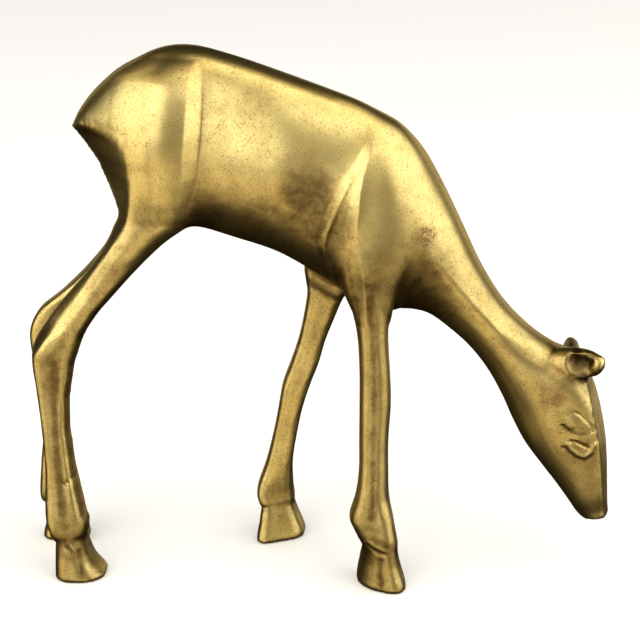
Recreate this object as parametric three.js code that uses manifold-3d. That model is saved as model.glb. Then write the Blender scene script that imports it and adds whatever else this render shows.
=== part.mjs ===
// A grazing doe, cast in brass in one piece.
// Millimetres. +X points towards the nose, +Y towards the deer's left side and +Z up. The four soles stand on Z = 0.
import * as THREE from 'three';
import { mergeVertices } from 'three/addons/utils/BufferGeometryUtils.js';
import Module from 'manifold-3d';

// Driving dimensions
const TRUNK_WIDTH = 27; // across the haunches, the widest place of the trunk
const FRONT_STANCE = 28.5; // between the middles of the two front hooves
const HIND_STANCE = 24; // between the middles of the two hind hooves
const HOOF_WIDTH = 11;
const FRONT_TOE_OUT = 0.4; // how far a front hoof swings out for each millimetre forward
const HIND_TOE_OUT = -0.12;
const TOE_OUT_FROM = 26; // height at which a foot begins to turn, and where it is fully turned
const TOE_OUT_FULL = 11;
const INNER_FULLNESS = 4.5; // the inner sides of the legs are nearly flat
const EYE_LENGTH = 12;
const EYE_WIDTH = 6.2;
const EYE_RISE = 0.8; // how far the eye stands out of the cheek
const EAR_WIDTH = 6.8;
const EAR_THICKNESS = 5.4;
const EAR_WALL = 0.9;
const EAR_HOLLOW = 0.55; // the hollow's share of the ear's length
const RINGS_BETWEEN_STATIONS = 2;
const TRUNK_SIDES = 32;
const LEG_SIDES = 16;
const ROUND_SIDES = 16;
const FLOOR_DEPTH = 6; // how far the legs are drawn below the floor, before the soles are cut flat

// The trunk, neck and head in one run from the tail's tip to the muzzle.
// Each station: top x, z; bottom x, z; width as a share of TRUNK_WIDTH; where the widest line lies, as a share of the
// way from top to bottom; and how full the section is above and below that line (2 is an ellipse, more is squarer).
const TRUNK = [
  [-62.0, 122.3, -61.8, 120.7, 0.05, 0.5, 2.0, 2.0],
  [-60.0, 125.3, -59.5, 117.0, 0.26, 0.5, 1.9, 1.8],
  [-56.0, 130.2, -56.7, 112.0, 0.52, 0.52, 1.9, 1.7],
  [-50.1, 135.4, -53.6, 105.6, 0.78, 0.54, 1.9, 1.7],
  [-43.6, 139.3, -49.0, 99.6, 0.94, 0.55, 1.9, 1.8],
  [-37.0, 141.6, -42.6, 96.0, 1.0, 0.55, 1.9, 2.0],
  [-31.4, 141.5, -34.4, 95.6, 0.99, 0.54, 1.9, 2.1],
  [-28.8, 141.1, -31.4, 95.2, 0.93, 0.54, 1.9, 2.1],
  [-19.8, 138.5, -21.8, 92.2, 0.93, 0.53, 1.9, 2.1],
  [-8.7, 134.7, -10.8, 88.6, 0.93, 0.52, 1.9, 2.1],
  [2.5, 130.8, -0.5, 82.6, 0.92, 0.52, 1.9, 2.1],
  [11.2, 127.4, 7.8, 77.4, 0.92, 0.52, 1.9, 2.0],
  [19.0, 123.0, 15.1, 74.4, 0.91, 0.52, 1.9, 2.0],
  [25.6, 117.2, 20.3, 73.4, 0.87, 0.5, 1.9, 2.0],
  [31.1, 107.2, 24.2, 73.2, 0.8, 0.48, 1.9, 2.0],
  [36.4, 96.3, 28.4, 72.0, 0.72, 0.46, 1.9, 2.0],
  [41.2, 85.2, 33.2, 68.1, 0.64, 0.45, 1.9, 2.0],
  [47.1, 75.8, 38.6, 63.0, 0.59, 0.45, 1.9, 2.0],
  [54.3, 68.4, 43.7, 56.5, 0.58, 0.45, 1.9, 2.0],
  [61.2, 63.9, 48.1, 49.2, 0.62, 0.43, 2.0, 2.0],
  [67.4, 60.8, 51.2, 42.9, 0.68, 0.4, 2.1, 2.0],
  [72.0, 53.4, 54.7, 36.4, 0.7, 0.38, 2.3, 2.0],
  [74.5, 45.4, 58.9, 30.4, 0.66, 0.38, 2.4, 2.0],
  [76.3, 35.2, 63.1, 24.4, 0.55, 0.4, 2.4, 2.0],
  [77.0, 25.2, 66.7, 19.2, 0.44, 0.42, 2.3, 2.1],
  [77.5, 18.4, 69.0, 16.0, 0.38, 0.45, 2.3, 2.2],
  [77.9, 15.6, 70.8, 14.4, 0.35, 0.5, 2.4, 2.4],
];

// Each leg in one run from inside the trunk to below the sole. The right side is the near one in the side view.
// Each station: back x, z; front x, z; outer y; inner y; fullness of the outer side.
// Each hoof station: back x, z; front x, z; width as a share of HOOF_WIDTH.
const RIGHT_HIND_LEG = [
  [-40.0, 137.0, -32.6, 137.0, 5.0, 1.0, 2.4],
  [-45.0, 130.0, -31.4, 130.0, 10.2, 1.5, 2.6],
  [-48.5, 120.0, -31.4, 120.0, 13.4, 2.0, 3.0],
  [-50.2, 107.0, -31.6, 106.0, 14.2, 2.0, 3.0],
  [-50.8, 98.5, -33.0, 98.0, 13.4, 2.4, 2.8],
  [-54.8, 91.2, -38.5, 93.3, 12.8, 2.8, 2.7],
  [-59.4, 84.5, -44.2, 87.7, 12.2, 3.2, 2.7],
  [-65.0, 77.9, -50.7, 80.5, 12.0, 3.8, 2.7],
  [-70.2, 71.1, -56.1, 74.4, 12.0, 4.4, 2.7],
  [-73.6, 65.2, -60.1, 68.4, 12.1, 4.8, 2.7],
  [-73.9, 60.2, -62.9, 60.6, 12.2, 5.3, 2.7],
  [-73.0, 51.8, -64.8, 51.8, 12.6, 6.0, 2.7],
  [-72.2, 42.5, -65.2, 42.5, 13.2, 6.6, 2.7],
  [-72.0, 32.0, -64.3, 32.0, 14.2, 7.0, 2.7],
  [-72.4, 18.5, -61.9, 18.5, 16.0, 7.2, 2.7],
  [-71.5, 13.2, -61.5, 13.9, 16.3, 7.6, 2.6],
];
const RIGHT_HIND_HOOF = [
  [-70.0, 10.4, -61.9, 10.8, 0.82],
  [-70.4, 5.5, -59.2, 5.5, 0.92],
  [-70.6, 0.5, -56.9, 0.5, 1.0],
];

const LEFT_HIND_LEG = [
  [-40.0, 137.0, -32.6, 137.0, 5.0, 1.0, 2.4],
  [-45.0, 130.0, -31.4, 130.0, 10.2, 1.5, 2.6],
  [-48.5, 120.0, -31.4, 120.0, 13.4, 2.0, 3.0],
  [-49.2, 107.0, -32.6, 106.0, 14.2, 2.0, 3.0],
  [-51.4, 97.5, -36.0, 97.0, 13.4, 2.4, 2.8],
  [-55.8, 88.6, -41.6, 90.8, 12.8, 2.8, 2.7],
  [-62.4, 80.6, -48.4, 84.0, 12.2, 3.2, 2.7],
  [-68.8, 74.4, -55.8, 77.0, 12.0, 3.8, 2.7],
  [-74.4, 69.5, -61.0, 71.5, 12.0, 4.4, 2.7],
  [-77.6, 63.5, -64.8, 65.4, 12.1, 4.8, 2.7],
  [-77.8, 56.8, -67.6, 56.8, 12.4, 5.4, 2.7],
  [-76.8, 46.6, -69.4, 46.6, 13.0, 6.2, 2.7],
  [-76.1, 36.3, -69.4, 36.3, 13.8, 6.8, 2.7],
  [-77.2, 24.0, -68.8, 24.0, 15.2, 7.0, 2.7],
  [-78.0, 16.9, -68.2, 16.9, 16.0, 7.2, 2.7],
  [-76.8, 12.9, -67.6, 13.4, 16.3, 7.6, 2.6],
];
const LEFT_HIND_HOOF = [
  [-75.4, 10.2, -67.2, 10.6, 0.82],
  [-76.0, 5.5, -66.0, 5.5, 0.92],
  [-76.8, 0.5, -65.0, 0.5, 1.0],
];

const RIGHT_FRONT_LEG = [
  [13.0, 121.0, 19.0, 121.0, 5.5, 2.0, 2.2],
  [9.6, 114.0, 22.0, 114.0, 11.0, 2.0, 2.4],
  [7.4, 105.0, 25.4, 105.0, 13.2, 2.0, 2.5],
  [6.2, 96.0, 25.6, 96.0, 13.9, 2.2, 2.6],
  [5.7, 88.0, 22.6, 88.0, 13.7, 3.0, 2.6],
  [6.7, 81.4, 19.4, 81.6, 13.5, 4.2, 2.6],
  [8.5, 75.5, 18.2, 75.9, 13.6, 5.2, 2.6],
  [9.9, 68.8, 17.8, 68.8, 13.9, 6.2, 2.6],
  [10.5, 59.2, 18.4, 59.2, 14.4, 7.0, 2.6],
  [10.6, 50.9, 18.7, 50.9, 15.0, 7.6, 2.6],
  [10.6, 41.0, 18.2, 41.0, 15.8, 8.4, 2.6],
  [10.6, 32.4, 18.3, 32.4, 16.6, 9.0, 2.6],
  [9.7, 25.2, 18.6, 25.2, 17.4, 9.2, 2.6],
  [8.2, 19.4, 19.8, 19.4, 18.0, 9.3, 2.6],
  [9.0, 15.2, 20.7, 14.9, 18.4, 9.5, 2.6],
];
const RIGHT_FRONT_HOOF = [
  [11.2, 11.2, 21.0, 11.0, 0.84],
  [10.9, 6.0, 22.0, 6.0, 0.93],
  [10.2, 0.8, 23.3, 0.8, 1.0],
];

const LEFT_FRONT_LEG = [
  [13.0, 121.0, 19.0, 121.0, 5.5, 2.0, 2.2],
  [9.6, 114.0, 22.0, 114.0, 11.0, 2.0, 2.4],
  [6.4, 105.0, 24.4, 105.0, 13.2, 2.0, 2.5],
  [3.0, 97.0, 22.6, 97.0, 13.9, 2.2, 2.6],
  [-1.4, 89.0, 16.4, 89.0, 13.7, 3.0, 2.6],
  [-4.0, 81.4, 10.2, 80.6, 13.5, 4.2, 2.6],
  [-4.6, 74.7, 6.2, 73.7, 13.6, 5.2, 2.6],
  [-4.9, 67.0, 3.6, 67.0, 13.9, 6.2, 2.6],
  [-6.2, 60.4, 1.3, 60.4, 14.4, 7.0, 2.6],
  [-8.3, 53.7, -0.5, 53.7, 15.0, 7.6, 2.6],
  [-10.5, 47.3, -2.8, 47.3, 15.4, 8.0, 2.6],
  [-12.1, 39.9, -4.9, 39.9, 15.9, 8.5, 2.6],
  [-13.4, 32.4, -6.5, 32.4, 16.6, 9.0, 2.6],
  [-15.3, 23.6, -7.5, 23.6, 17.4, 9.2, 2.6],
  [-17.4, 15.0, -7.9, 14.6, 18.2, 9.4, 2.6],
];
const LEFT_FRONT_HOOF = [
  [-16.6, 10.6, -7.9, 11.0, 0.84],
  [-17.4, 5.4, -6.2, 5.6, 0.93],
  [-17.9, 0.6, -5.2, 0.6, 1.0],
];

// Places on the head: the eye's middle for the left side, and each ear's root, tip and the way its hollow faces.
const EYE_PLACE = [68.2, 7.9, 40.0];
const EYE_TILT = -0.1; // radians, from upright
const RIGHT_EAR = { root: [59.4, -5.6, 60.6], tip: [73.8, -9.6, 61.6], faces: [-0.1, -1, 0.05] };
const LEFT_EAR = { root: [66.0, 1.6, 57.6], tip: [66.8, 16.4, 57.9], faces: [0.8, 0.1, -0.6] };

const BRASS = new THREE.MeshStandardMaterial({ name: 'brass', color: 0xb0904a, roughness: 0.36, metalness: 1 });

const wasm = await Module();
wasm.setup();

// A value on the smooth curve through values, at a place such as 2.5, halfway between the third and the fourth.
function smoothValue(values, place) {
  const last = values.length - 1;
  const i = Math.min(Math.floor(place), last - 1);
  const t = place - i;
  const [a, b, c, d] = [i - 1, i, i + 1, i + 2].map((k) => values[Math.max(0, Math.min(last, k))]);
  return b + 0.5 * t * (c - a + t * (2 * a - 5 * b + 4 * c - d + t * (3 * (b - c) + d - a)));
}

// All columns of a table of stations, at one place along it.
function smoothStation(stations, place) {
  return stations[0].map((_, column) => smoothValue(stations.map((row) => row[column]), place));
}

// A closed surface from rings of points, each ring running the same way round, with a fan at each end.
function skin(rings) {
  const sides = rings[0].length;
  const points = rings.flat();
  const faces = [];
  for (let r = 0; r + 1 < rings.length; r += 1) {
    for (let s = 0; s < sides; s += 1) {
      const a = r * sides + s;
      const b = r * sides + ((s + 1) % sides);
      faces.push(a, a + sides, b, b, a + sides, b + sides);
    }
  }
  const ends = [[rings[0], 0, false], [rings.at(-1), (rings.length - 1) * sides, true]];
  for (const [ring, first, isLast] of ends) {
    const middle = ring.reduce((sum, p) => sum.add(p), new THREE.Vector3()).divideScalar(sides);
    points.push(middle);
    const centre = points.length - 1;
    for (let s = 0; s < sides; s += 1) {
      const a = first + s;
      const b = first + ((s + 1) % sides);
      faces.push(...(isLast ? [b, a, centre] : [a, b, centre]));
    }
  }
  const geometry = new THREE.BufferGeometry().setFromPoints(points);
  geometry.setIndex(faces);
  return geometry;
}

// One section: a squared ellipse between two points of the side view and two y.
// fullness gives the section's power from the cosine and sine of the place on it. turn swings it aside as it runs on.
function section({ one, other, widest, yLow, yHigh, fullness, turn = 0, sides }) {
  const across = new THREE.Vector2().subVectors(one, other);
  const middle = new THREE.Vector2().lerpVectors(one, other, widest);
  const yMiddle = (yLow + yHigh) / 2;
  const yHalf = (yHigh - yLow) / 2;
  const ring = [];
  for (let s = 0; s < sides; s += 1) {
    const cosine = Math.cos((2 * Math.PI * s) / sides);
    const sine = Math.sin((2 * Math.PI * s) / sides);
    const power = 2 / fullness(cosine, sine);
    const along = Math.sign(cosine) * Math.abs(cosine) ** power * (cosine >= 0 ? widest : 1 - widest);
    const aside = Math.sign(sine) * Math.abs(sine) ** power * yHalf + turn * across.x * along;
    ring.push(new THREE.Vector3(middle.x + across.x * along, yMiddle + aside, middle.y + across.y * along));
  }
  return ring;
}

function places(stations) {
  const count = (stations.length - 1) * RINGS_BETWEEN_STATIONS;
  return Array.from({ length: count + 1 }, (_, i) => i / RINGS_BETWEEN_STATIONS);
}

function trunk() {
  const rings = places(TRUNK).map((place) => {
    const [topX, topZ, bottomX, bottomZ, width, widest, powerTop, powerBottom] = smoothStation(TRUNK, place);
    const half = (width * TRUNK_WIDTH) / 2;
    return section({
      one: new THREE.Vector2(topX, topZ),
      other: new THREE.Vector2(bottomX, bottomZ),
      widest,
      yLow: -half,
      yHigh: half,
      fullness: (cosine) => (cosine >= 0 ? powerTop : powerBottom),
      sides: TRUNK_SIDES,
    });
  });
  return skin(rings);
}

// side is 1 for the deer's left and -1 for its right.
function leg(stations, hoof, stance, toeOut, side) {
  const hoofRows = hoof.map(([backX, backZ, frontX, frontZ, share]) => {
    const half = (share * HOOF_WIDTH) / 2;
    return [backX, backZ, frontX, frontZ, stance / 2 + half, stance / 2 - half, 2.6];
  });
  const sole = hoofRows.at(-1);
  const below = [sole[0], sole[1] - FLOOR_DEPTH, sole[2], sole[3] - FLOOR_DEPTH, ...sole.slice(4)];
  const rows = [...stations, ...hoofRows, below];
  const rings = places(rows).map((place) => {
    const [backX, backZ, frontX, frontZ, outer, inner, outerFullness] = smoothStation(rows, place);
    const turned = THREE.MathUtils.clamp((TOE_OUT_FROM - backZ) / (TOE_OUT_FROM - TOE_OUT_FULL), 0, 1);
    return section({
      one: new THREE.Vector2(frontX, frontZ),
      other: new THREE.Vector2(backX, backZ),
      widest: 0.5,
      yLow: side > 0 ? inner : -outer,
      yHigh: side > 0 ? outer : -inner,
      fullness: (cosine, sine) => (sine * side >= 0 ? outerFullness : INNER_FULLNESS),
      turn: side * toeOut * turned,
      sides: LEG_SIDES,
    });
  });
  return skin(rings);
}

function ellipsoid(halves, rotation, place) {
  const geometry = new THREE.SphereGeometry(1, ROUND_SIDES, ROUND_SIDES / 2);
  const turn = rotation.isQuaternion ? rotation : new THREE.Quaternion().setFromEuler(rotation);
  return geometry.applyMatrix4(new THREE.Matrix4().compose(place, turn, halves));
}

// A closed geometry as a solid, with its shared corners merged.
function solid(geometry) {
  const bare = new THREE.BufferGeometry().setAttribute('position', geometry.getAttribute('position').clone());
  bare.setIndex(geometry.getIndex() ? geometry.getIndex().clone() : null);
  const merged = mergeVertices(bare, 1e-4);
  const made = new wasm.Manifold(
    new wasm.Mesh({
      numProp: 3,
      vertProperties: Float32Array.from(merged.getAttribute('position').array),
      triVerts: Uint32Array.from(merged.getIndex().array),
    }),
  );
  if (made.volume() <= 0) throw new Error('a piece is inside out');
  return made;
}

function geometryOf(made) {
  const mesh = made.getMesh();
  const geometry = new THREE.BufferGeometry();
  geometry.setAttribute('position', new THREE.BufferAttribute(mesh.vertProperties, 3));
  geometry.setIndex(new THREE.BufferAttribute(mesh.triVerts, 1));
  geometry.computeVertexNormals();
  return geometry;
}

// A cupped ear: a leaf-shaped lobe, and the hollow to cut from it.
function ear({ root, tip, faces }) {
  const from = new THREE.Vector3(...root);
  const to = new THREE.Vector3(...tip);
  const axis = to.clone().sub(from).normalize();
  const across = new THREE.Vector3().crossVectors(new THREE.Vector3(...faces), axis).normalize();
  const out = new THREE.Vector3().crossVectors(axis, across).normalize();
  const turn = new THREE.Quaternion().setFromRotationMatrix(new THREE.Matrix4().makeBasis(axis, across, out));
  const middle = from.clone().lerp(to, 0.5);
  const halves = new THREE.Vector3(from.distanceTo(to), EAR_WIDTH, EAR_THICKNESS).divideScalar(2);
  const hollowHalves = new THREE.Vector3(halves.x * EAR_HOLLOW, halves.y - EAR_WALL, halves.z - EAR_WALL / 2);
  const hollowPlace = middle.clone().addScaledVector(out, halves.z * 0.8).addScaledVector(axis, halves.x * 0.14);
  return { lobe: solid(ellipsoid(halves, turn, middle)), hollow: solid(ellipsoid(hollowHalves, turn, hollowPlace)) };
}

function eye(side) {
  const [x, y, z] = EYE_PLACE;
  const halves = new THREE.Vector3(EYE_WIDTH / 2, EYE_RISE * 2, EYE_LENGTH / 2);
  return solid(ellipsoid(halves, new THREE.Euler(0, EYE_TILT, 0), new THREE.Vector3(x, side * y, z)));
}

function deer() {
  const pieces = [
    leg(RIGHT_HIND_LEG, RIGHT_HIND_HOOF, HIND_STANCE, HIND_TOE_OUT, -1),
    leg(LEFT_HIND_LEG, LEFT_HIND_HOOF, HIND_STANCE, HIND_TOE_OUT, 1),
    leg(RIGHT_FRONT_LEG, RIGHT_FRONT_HOOF, FRONT_STANCE, FRONT_TOE_OUT, -1),
    leg(LEFT_FRONT_LEG, LEFT_FRONT_HOOF, FRONT_STANCE, FRONT_TOE_OUT, 1),
  ].map(solid);
  const ears = [ear(RIGHT_EAR), ear(LEFT_EAR)];
  pieces.push(...ears.map(({ lobe }) => lobe), eye(-1), eye(1));
  let whole = pieces.reduce((sum, piece) => sum.add(piece), solid(trunk()));
  for (const { hollow } of ears) whole = whole.subtract(hollow);
  const underFloor = new THREE.BoxGeometry(400, 400, 2 * FLOOR_DEPTH).translate(0, 0, -FLOOR_DEPTH);
  return geometryOf(whole.subtract(solid(underFloor)));
}

const figurine = new THREE.Group();
const body = new THREE.Mesh(deer(), BRASS);
body.name = 'deer';
figurine.add(body);

// The origin is the middle of the figure's outline, on the floor.
const box = new THREE.Box3().setFromObject(figurine);
const middle = box.getCenter(new THREE.Vector3());
body.position.set(-middle.x, -middle.y, -box.min.z);

export default figurine;
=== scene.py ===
# A grazing doe cast in brass, sculpted over the CAD solid's own dimensions.
# The sculpting is in millimetres, with the floor at Z 0, and ends in the row frame in metres.
import math

import bmesh
import bpy
import numpy as np
import openvdb
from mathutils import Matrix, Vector


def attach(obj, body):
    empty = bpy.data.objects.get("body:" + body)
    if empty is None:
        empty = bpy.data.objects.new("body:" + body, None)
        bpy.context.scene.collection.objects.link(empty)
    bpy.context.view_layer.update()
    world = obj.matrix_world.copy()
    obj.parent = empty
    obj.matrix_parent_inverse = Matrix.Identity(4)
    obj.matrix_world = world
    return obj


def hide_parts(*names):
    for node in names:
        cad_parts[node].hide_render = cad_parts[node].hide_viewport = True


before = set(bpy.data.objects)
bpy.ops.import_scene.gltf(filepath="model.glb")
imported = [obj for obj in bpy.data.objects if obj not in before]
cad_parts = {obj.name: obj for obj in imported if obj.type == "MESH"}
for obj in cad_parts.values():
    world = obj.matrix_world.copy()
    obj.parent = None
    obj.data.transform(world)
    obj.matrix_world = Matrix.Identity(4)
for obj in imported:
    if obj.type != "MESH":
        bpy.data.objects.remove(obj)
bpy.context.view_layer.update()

METRE = 1000.0  # in mm
FRAME_SHIFT = 0.05  # from the sculpting's X to the row's X

# The grid that the casting is sculpted on
VOXEL = 0.77
BAND = 8  # voxels on each side of a surface in which distances are kept
LOW = np.array([-86.0, -29.0, -9.0])
HIGH = np.array([86.0, 29.0, 149.0])
COUNT = np.ceil((HIGH - LOW) / VOXEL).astype(int)
FIRST = np.floor(LOW / VOXEL).astype(int)
CORNER = tuple(int(v) for v in FIRST)

# How finely the trunk, the legs and the ears are drawn first
SIDES = 96  # points round a section
RINGS = 6  # sections from one station to the next
LOBE_SIDES = 48
LOBE_RINGS = 41
LOBE_TIP = 0.04  # how far from its tip, in radians, the first ring of a lobe lies

# Widths across the body, and how the hooves turn out
TRUNK_WIDTH = 27.0
FRONT_STANCE = 28.5
HIND_STANCE = 24.0
HOOF_WIDTH = 11.0
FRONT_TOE_OUT = 0.4  # Y for each mm along X
HIND_TOE_OUT = -0.12
TOE_OUT_FROM = 26.0  # the height where it starts
TOE_OUT_FULL = 11.0  # and the one where it is full
INNER_FULLNESS = 4.5  # of the legs' inner sides

# A hoof's run up into the leg, and on below the floor, where it is cut off
HOOF_INTO_LEG = 3.0
HOOF_TOP_INSET = 1.0
HOOF_TOP_SHARE = 0.8
HOOF_BELOW = 6.0
HOOF_FULLNESS = 2.2

# The leg's lower end inside the hoof: how far down, and the share of the section left there
FETLOCK_END = [(1.2, 0.9), (2.3, 0.66), (2.9, 0.25)]
HIND_END_TRIM = 1.0  # how far the front of the section joins in that narrowing
FRONT_END_TRIM = 0.2

# The two steep facets that meet at the front of each hind leg, with start and run of their fading
BEVEL_DEPTH = 1.9
BEVEL_WIDTH = 3.6
BEVEL_ABOVE = (15.0, 3.0)
BEVEL_BELOW = (92.0, -8.0)
BEVEL_FADED = 3.0  # how far before the leg they lie where they have faded
BEYOND_LEG = 99.0  # and above and below it

# How round each fillet and edge is
LEG_FILLET = 4.0
HOOF_FILLET = 1.0
EAR_FILLET = 1.6
EAR_TIP_FILLET = 0.8
SMOOTH_FILLET = 0.4  # the share of a fillet that stays where two surfaces run on smoothly
BEVEL_EDGE = 0.5
FACET_EDGE = 0.5
REAR_EDGE = 0.45
TAIL_EDGE = 1.1  # added to it beside the tail
FACE_EDGE = 0.3
RIGHT_HOLLOW_EDGE = 0.4
LEFT_HOLLOW_EDGE = 0.6
SOLE_EDGE = 0.25

# Where the casting is smoothed, and where the tail is kept sharp: start and run of each fading
SOFTNESS = 2.0
BLUR_REACH = 2.5  # in softnesses
SOFT_ABOVE = (78.0, 14.0)
SOFT_BEHIND = (52.0, -12.0)
TAIL_BEHIND = (-47.0, -7.0)
TAIL_ABOVE = (104.0, 8.0)

OUT_OF_REACH = 20.0  # a distance that cuts nothing
SLANT = 0.9  # turns a distance along an axis into about the one across a slanted face

# Trunk: top x, z; bottom x, z; width share; widest line; fullness above and below it
TRUNK = [
    [-66.8, 115.8, -66.9, 114.2, 0.16, 0.5, 2.0, 2.0],
    [-62.5, 121.1, -65.0, 110.0, 0.3, 0.42, 2.0, 2.0],
    [-60.2, 125.4, -63.6, 107.0, 0.38, 0.4, 2.0, 2.0],
    [-56.2, 130.4, -61.0, 103.6, 0.47, 0.4, 2.0, 2.0],
    [-50.2, 135.6, -56.0, 100.2, 0.62, 0.42, 2.0, 2.0],
    [-43.6, 139.3, -50.0, 98.5, 0.76, 0.47, 1.9, 1.9],
    [-37.0, 141.6, -42.6, 96.0, 0.9, 0.52, 2.0, 2.0],
    [-31.4, 141.5, -34.4, 95.6, 0.9, 0.54, 2.2, 2.1],
    [-28.8, 141.1, -31.4, 95.2, 0.86, 0.54, 2.2, 2.1],
    [-19.8, 138.5, -21.8, 92.2, 0.92, 0.53, 2.1, 2.1],
    [-8.7, 134.7, -10.8, 88.6, 0.97, 0.52, 2.0, 2.1],
    [2.5, 130.8, -0.5, 82.6, 0.94, 0.52, 1.9, 2.1],
    [11.2, 127.4, 7.8, 77.4, 0.91, 0.52, 1.9, 2.0],
    [19.0, 122.6, 15.1, 74.4, 0.9, 0.52, 1.9, 2.0],
    [25.5, 116.8, 20.3, 73.4, 0.87, 0.5, 1.9, 2.0],
    [31.1, 107.2, 24.2, 73.2, 0.8, 0.48, 1.9, 2.0],
    [36.4, 96.3, 28.4, 72.0, 0.72, 0.46, 1.9, 2.0],
    [41.5, 85.5, 33.3, 68.4, 0.64, 0.45, 1.9, 2.0],
    [47.4, 76.1, 38.8, 63.4, 0.59, 0.45, 1.9, 2.0],
    [54.5, 68.7, 43.9, 56.8, 0.58, 0.45, 1.9, 2.0],
    [61.2, 63.9, 48.1, 49.2, 0.62, 0.43, 2.0, 2.0],
    [67.4, 60.8, 51.0, 42.7, 0.68, 0.36, 2.2, 2.0],
    [72.0, 53.4, 54.5, 36.2, 0.69, 0.34, 3.2, 2.3],
    [74.6, 45.4, 58.9, 30.3, 0.65, 0.36, 3.5, 2.6],
    [76.4, 35.2, 63.3, 24.5, 0.57, 0.38, 3.5, 2.7],
    [77.1, 25.2, 66.9, 19.3, 0.48, 0.42, 3.2, 2.6],
    [77.5, 18.4, 69.0, 16.0, 0.38, 0.45, 2.3, 2.2],
    [77.9, 15.6, 70.8, 14.4, 0.35, 0.5, 2.4, 2.4],
]

# Legs: back x, z; front x, z; outer y; inner y; fullness of the outer side; its lean inwards to the tail
# Hooves: back x, z; front x, z; width share
HIND_LEG_TOP = [
    [-41.0, 137.0, -32.6, 137.0, 4.0, 1.0, 2.4, 0.2],
    [-47.0, 130.0, -31.0, 130.0, 8.4, 1.5, 2.8, 0.28],
    [-49.5, 120.0, -30.6, 120.0, 10.4, 2.0, 2.8, 0.3],
]
FRONT_LEG_TOP = [
    [13.0, 121.0, 19.0, 121.0, 4.0, 2.0, 2.2, 0.0],
    [9.6, 114.0, 22.0, 114.0, 10.4, 2.0, 2.2, 0.0],
]
RIGHT_HIND_LEG = [
    *HIND_LEG_TOP,
    [-51.2, 107.0, -31.6, 106.0, 12.2, 2.0, 2.8, 0.24],
    [-51.2, 98.5, -33.0, 98.0, 13.0, 2.4, 2.8, 0.12],
    [-54.8, 91.2, -38.5, 93.3, 13.0, 2.8, 3.2, 0.0],
    [-59.4, 84.5, -44.2, 87.7, 12.3, 3.2, 3.6, 0.0],
    [-65.0, 77.9, -50.7, 80.5, 12.1, 3.8, 3.8, 0.0],
    [-70.2, 71.1, -56.1, 74.4, 12.0, 4.4, 3.8, 0.0],
    [-73.8, 65.2, -60.1, 68.4, 12.1, 4.8, 3.6, 0.0],
    [-74.2, 60.2, -62.9, 60.6, 12.2, 5.3, 3.8, 0.0],
    [-73.3, 51.8, -64.5, 51.8, 12.6, 6.0, 4.0, 0.0],
    [-72.5, 42.5, -64.8, 42.5, 13.2, 6.6, 4.0, 0.0],
    [-72.0, 32.0, -63.8, 32.0, 14.2, 7.0, 3.8, 0.0],
    [-72.4, 18.5, -61.5, 18.5, 16.0, 7.2, 3.2, 0.0],
    [-71.5, 13.2, -61.5, 13.9, 16.3, 7.6, 2.8, 0.0],
]
RIGHT_HIND_HOOF = [
    [-70.0, 10.4, -61.9, 10.8, 0.82],
    [-70.4, 5.5, -60.2, 5.5, 0.92],
    [-70.6, 0.5, -56.9, 0.5, 1.0],
]
LEFT_HIND_LEG = [
    *HIND_LEG_TOP,
    [-51.2, 107.0, -32.6, 106.0, 12.2, 2.0, 2.8, 0.24],
    [-51.4, 97.5, -36.0, 97.0, 13.4, 2.4, 2.8, 0.0],
    [-55.8, 88.6, -41.6, 90.8, 12.8, 2.8, 3.2, 0.0],
    [-62.4, 80.6, -48.4, 84.0, 12.3, 3.2, 3.6, 0.0],
    [-68.8, 74.4, -55.8, 77.0, 12.1, 3.8, 3.6, 0.0],
    [-74.7, 69.5, -61.0, 71.5, 12.0, 4.4, 3.8, 0.0],
    [-77.8, 63.5, -64.8, 65.4, 12.1, 4.8, 3.2, 0.0],
    [-77.8, 56.8, -67.6, 56.8, 12.4, 5.4, 3.6, 0.0],
    [-76.6, 46.6, -69.4, 46.6, 13.0, 6.2, 3.6, 0.0],
    [-75.9, 36.3, -69.4, 36.3, 13.8, 6.8, 3.6, 0.0],
    [-77.4, 24.0, -68.8, 24.0, 15.2, 7.0, 3.2, 0.0],
    [-78.3, 16.0, -68.2, 16.9, 16.0, 7.2, 2.7, 0.0],
    [-78.5, 12.4, -67.6, 13.4, 16.3, 7.6, 2.6, 0.0],
]
LEFT_HIND_HOOF = [
    [-76.0, 10.2, -67.2, 10.6, 0.82],
    [-77.0, 5.5, -66.0, 5.5, 0.92],
    [-78.2, 0.5, -65.0, 0.5, 1.0],
]
RIGHT_FRONT_LEG = [
    *FRONT_LEG_TOP,
    [7.4, 105.0, 24.4, 105.0, 12.6, 2.0, 2.2, 0.0],
    [6.2, 96.0, 25.0, 96.0, 13.4, 2.2, 2.4, 0.0],
    [5.7, 88.0, 22.6, 88.0, 13.7, 3.0, 2.6, 0.0],
    [6.7, 81.4, 19.4, 81.6, 13.5, 4.2, 2.6, 0.0],
    [8.5, 75.5, 18.2, 75.9, 13.6, 5.2, 2.4, 0.0],
    [9.9, 68.8, 17.8, 68.8, 13.9, 6.2, 2.3, 0.0],
    [10.5, 59.2, 18.4, 59.2, 14.4, 7.0, 2.3, 0.0],
    [10.6, 50.9, 18.7, 50.9, 15.0, 7.6, 2.3, 0.0],
    [10.6, 41.0, 18.2, 41.0, 15.8, 8.4, 2.3, 0.0],
    [10.6, 32.4, 18.3, 32.4, 16.6, 9.0, 2.3, 0.0],
    [9.7, 25.2, 18.6, 25.2, 17.4, 9.2, 2.3, 0.0],
    [8.2, 19.4, 19.8, 19.4, 18.0, 9.3, 2.8, 0.0],
    [9.3, 16.2, 20.9, 12.8, 18.4, 9.5, 2.6, 0.0],
]
RIGHT_FRONT_HOOF = [
    [10.2, 14.6, 20.5, 12.4, 0.84],
    [11.6, 10.8, 21.0, 10.0, 0.86],
    [10.9, 6.0, 21.9, 6.0, 0.93],
    [10.2, 0.8, 23.3, 0.8, 1.0],
]
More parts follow.
